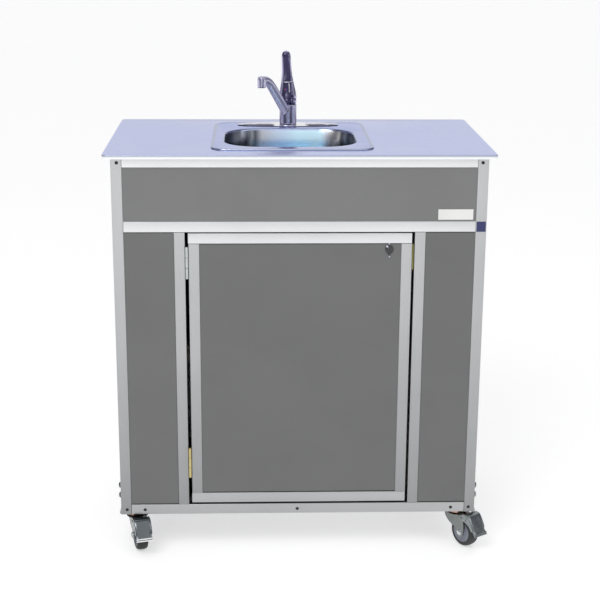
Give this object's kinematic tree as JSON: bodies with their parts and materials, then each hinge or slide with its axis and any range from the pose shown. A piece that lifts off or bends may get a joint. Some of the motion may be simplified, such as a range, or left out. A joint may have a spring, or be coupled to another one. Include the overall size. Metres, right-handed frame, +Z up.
{
  "type": "portable handwash sink",
  "caption": "Wheeled aluminium-framed cabinet with grey panels, a lockable door, a steel worktop, a drop-in sink and a single-lever swivel faucet.",
  "frame": {"origin": "on the floor, under the middle of the whole object's footprint", "axes": "+Z up, the door faces -Y, +X is to the right of someone who faces the door"},
  "size_m": [0.9127, 0.5667, 1.1726],
  "materials": {
    "aluminium": "satin extruded aluminium",
    "panel_grey": "matte grey painted sheet",
    "stainless": "satin stainless steel",
    "chrome": "polished chrome",
    "zinc": "bright zinc plate",
    "brass": "yellow zinc plate",
    "tread": "dark grey rubber tread on a grey hub",
    "jug_clear": "milky blow-moulded plastic",
    "jug_grey": "grey blow-moulded plastic",
    "black_plastic": "black moulded plastic",
    "white_enamel": "white enamel",
    "hose_clear": "milky hose",
    "hose_blue": "blue hose",
    "hose_red": "red hose"
  },
  "bodies": {
    "cart": {"post_front_left": "aluminium", "post_front_right": "aluminium", "rail_left_top": "aluminium", "rail_left_bottom": "aluminium", "rail_right_top": "aluminium", "rail_right_bottom": "aluminium", "mullion_left": "aluminium", "mullion_right": "aluminium", "rail_front_top": "aluminium", "rail_front_middle": "aluminium", "rail_front_bottom": "aluminium", "frame_rear": "aluminium", "panel_front_upper": "panel_grey", "panel_front_left": "panel_grey", "panel_front_right": "panel_grey", "panel_side_left": "panel_grey", "panel_side_right": "panel_grey", "panel_rear": "panel_grey", "panel_floor": "panel_grey", "worktop": "stainless", "sink_bowl": "stainless", "drain_body": "stainless", "faucet_deck_plate": "chrome", "faucet_core": "chrome", "hinge_upper_frame_leaf": "zinc", "hinge_lower_frame_leaf": "brass", "caster_front_left_plate": "zinc", "caster_rear_left_fork": "zinc", "caster_front_right_plate": "zinc", "caster_rear_right_fork": "zinc", "tank_fresh": "jug_clear", "tank_waste": "jug_grey", "pump": "black_plastic", "water_heater": "white_enamel", "hose_suction": "hose_clear", "hose_feed": "hose_blue", "hose_cold": "hose_blue", "hose_hot": "hose_red"},
    "door": {"door_rail_top": "aluminium", "door_rail_bottom": "aluminium", "door_stile_left": "aluminium", "door_stile_right": "aluminium", "door_panel": "panel_grey", "hinge_lower_door_leaf": "brass", "hinge_upper_door_leaf": "zinc", "lock_body": "chrome"},
    "lock": {"lock_cam": "brass"},
    "spout": {"faucet_spout": "chrome"},
    "handle_stem": {"faucet_stem": "zinc"},
    "lever": {"faucet_lever": "chrome"},
    "basket": {"strainer_basket": "stainless"},
    "fresh_cap": {"tank_fresh_cap": "black_plastic"},
    "fork_front_left": {"caster_front_left_fork": "zinc"},
    "wheel_front_left": {"caster_front_left_wheel": "tread"},
    "pedal_front_left": {"caster_front_left_pedal": "zinc"},
    "wheel_rear_left": {"caster_rear_left_wheel": "tread"},
    "fork_front_right": {"caster_front_right_fork": "zinc"},
    "wheel_front_right": {"caster_front_right_wheel": "tread"},
    "pedal_front_right": {"caster_front_right_pedal": "zinc"},
    "wheel_rear_right": {"caster_rear_right_wheel": "tread"}
  },
  "joints": [
    {"name": "door_hinge", "type": "hinge", "parent": "cart", "child": "door", "pos_m": [-0.2692, -0.2375, 0.4627], "axis": [0, 0, -1], "range_deg": [0, 110]},
    {"name": "lock_turn", "type": "hinge", "parent": "door", "child": "lock", "pos_m": [0.1995, -0.2245, 0.76], "axis": [0, -1, 0], "range_deg": [0, 90]},
    {"name": "spout_swivel", "type": "hinge", "parent": "cart", "child": "spout", "pos_m": [-0.026, 0.1715, 1.014], "axis": [0, 0, 1], "range_deg": [-27, 93]},
    {"name": "handle_turn", "type": "hinge", "parent": "cart", "child": "handle_stem", "pos_m": [-0.026, 0.1715, 1.061], "axis": [0, 0, 1], "range_deg": [-45, 45]},
    {"name": "handle_tilt", "type": "hinge", "parent": "handle_stem", "child": "lever", "pos_m": [-0.026, 0.1715, 1.0465], "axis": [-1, 0, 0], "range_deg": [0, 20]},
    {"name": "basket_lift", "type": "slide", "parent": "cart", "child": "basket", "axis": [0, 0, 1], "range_m": [0, 0.06]},
    {"name": "fresh_cap_turn", "type": "hinge", "parent": "cart", "child": "fresh_cap", "pos_m": [0.2345, 0.0255, 0.458], "axis": [0, 0, 1], "range_deg": [0, 540]},
    {"name": "swivel_front_left", "type": "hinge", "parent": "cart", "child": "fork_front_left", "pos_m": [-0.4035, -0.1905, 0.079], "axis": [0, 0, 1], "continuous": true},
    {"name": "spin_front_left", "type": "hinge", "parent": "fork_front_left", "child": "wheel_front_left", "pos_m": [-0.39495, -0.22134, 0.0375], "axis": [0.9636, 0.2672, 0], "continuous": true},
    {"name": "brake_front_left", "type": "hinge", "parent": "fork_front_left", "child": "pedal_front_left", "pos_m": [-0.39335, -0.22712, 0.078], "axis": [-0.9636, -0.2672, 0], "range_deg": [0, 8]},
    {"name": "spin_rear_left", "type": "hinge", "parent": "cart", "child": "wheel_rear_left", "pos_m": [-0.4035, 0.2195, 0.0375], "axis": [1, 0, 0], "continuous": true},
    {"name": "swivel_front_right", "type": "hinge", "parent": "cart", "child": "fork_front_right", "pos_m": [0.3885, -0.1905, 0.079], "axis": [0, 0, 1], "continuous": true},
    {"name": "spin_front_right", "type": "hinge", "parent": "fork_front_right", "child": "wheel_front_right", "pos_m": [0.40639, -0.21703, 0.0375], "axis": [0.829, 0.5592, 0], "continuous": true},
    {"name": "brake_front_right", "type": "hinge", "parent": "fork_front_right", "child": "pedal_front_right", "pos_m": [0.40975, -0.222, 0.078], "axis": [-0.829, -0.5592, 0], "range_deg": [0, 8]},
    {"name": "spin_rear_right", "type": "hinge", "parent": "cart", "child": "wheel_rear_right", "pos_m": [0.3885, 0.2195, 0.0375], "axis": [1, 0, 0], "continuous": true}
  ]
}
